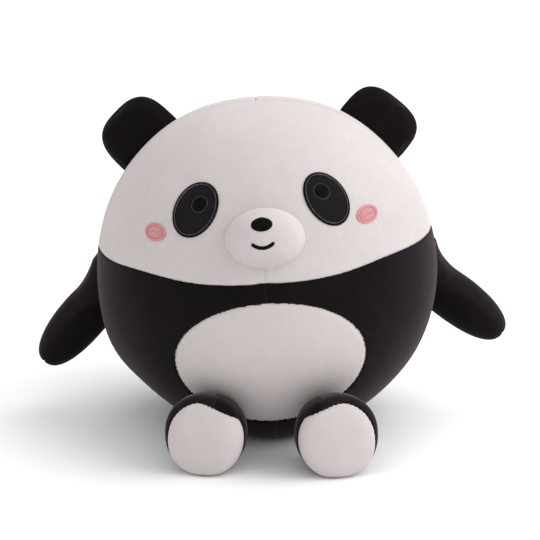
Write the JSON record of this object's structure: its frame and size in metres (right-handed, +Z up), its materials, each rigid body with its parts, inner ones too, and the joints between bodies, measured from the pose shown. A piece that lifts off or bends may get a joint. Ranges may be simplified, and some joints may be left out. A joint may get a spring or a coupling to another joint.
{
  "type": "plush panda",
  "caption": "Round stuffed panda that sits on a flat underside: ball body with white head half and belly patch, raised muzzle, black ears, flipper arms and stub feet.",
  "frame": {"origin": "on the floor, under the middle of the toy's outline seen from above", "axes": "+Z up; the face looks along -Y; +X is to the right of a person who faces the toy, and the arms spread along X"},
  "size_m": [0.364, 0.2724, 0.2572],
  "materials": {
    "white_plush": "matte",
    "black_plush": "matte",
    "eye_velour": "matte",
    "black_thread": "satin",
    "pink_thread": "satin",
    "stuffing": "matte"
  },
  "bodies": {
    "ball": {"head_front": "white_plush", "head_back_left": "white_plush", "head_back_right": "white_plush", "body_front_left": "black_plush", "body_front_right": "black_plush", "body_back_left": "black_plush", "body_back_right": "black_plush", "belly_patch": "white_plush", "base_panel": "black_plush", "core_stuffing": "stuffing", "muzzle_skin": "white_plush", "muzzle_stuffing": "stuffing", "nose_embroidery": "black_thread", "mouth_embroidery": "black_thread", "eye_patch_left": "eye_velour", "eye_patch_right": "eye_velour", "eye_border_left": "black_thread", "eye_border_right": "black_thread", "pupil_left": "black_thread", "pupil_right": "black_thread", "blush_left": "pink_thread", "blush_right": "pink_thread"},
    "ear_left": {"ear_left_front": "black_plush", "ear_left_back": "black_plush", "ear_left_stuffing": "stuffing"},
    "arm_left": {"arm_left_upper": "black_plush", "arm_left_lower": "black_plush", "arm_left_stuffing": "stuffing"},
    "foot_left": {"foot_left_upper_inner": "black_plush", "foot_left_upper_outer": "black_plush", "foot_left_sole": "white_plush", "foot_left_stuffing": "stuffing"},
    "ear_right": {"ear_right_front": "black_plush", "ear_right_back": "black_plush", "ear_right_stuffing": "stuffing"},
    "arm_right": {"arm_right_upper": "black_plush", "arm_right_lower": "black_plush", "arm_right_stuffing": "stuffing"},
    "foot_right": {"foot_right_upper_inner": "black_plush", "foot_right_upper_outer": "black_plush", "foot_right_sole": "white_plush", "foot_right_stuffing": "stuffing"}
  },
  "joints": [
    {"name": "ear_left_fold", "type": "hinge", "parent": "ball", "child": "ear_left", "pos_m": [-0.10115, 0.03376, 0.21767], "axis": [0.7069, 0, 0.7073], "range_deg": [-30, 30], "stiffness_Nm_per_rad": 0.08},
    {"name": "arm_left_raise", "type": "hinge", "parent": "ball", "child": "arm_left", "pos_m": [-0.14326, 0.03091, 0.07289], "axis": [0, 1, 0], "range_deg": [-30, 80], "stiffness_Nm_per_rad": 0.15},
    {"name": "foot_left_lift", "type": "hinge", "parent": "ball", "child": "foot_left", "pos_m": [-0.04833, -0.11781, 0.029], "axis": [-0.9781, 0.2079, 0], "range_deg": [-12, 30], "stiffness_Nm_per_rad": 0.4},
    {"name": "ear_right_fold", "type": "hinge", "parent": "ball", "child": "ear_right", "pos_m": [0.07789, 0.03376, 0.23019], "axis": [0.7985, 0, -0.602], "range_deg": [-30, 30], "stiffness_Nm_per_rad": 0.08},
    {"name": "arm_right_raise", "type": "hinge", "parent": "ball", "child": "arm_right", "pos_m": [0.13974, 0.03091, 0.09267], "axis": [0, -1, 0], "range_deg": [-30, 80], "stiffness_Nm_per_rad": 0.15},
    {"name": "foot_right_lift", "type": "hinge", "parent": "ball", "child": "foot_right", "pos_m": [0.04467, -0.11781, 0.029], "axis": [-0.9781, -0.2079, 0], "range_deg": [-12, 30], "stiffness_Nm_per_rad": 0.4}
  ]
}
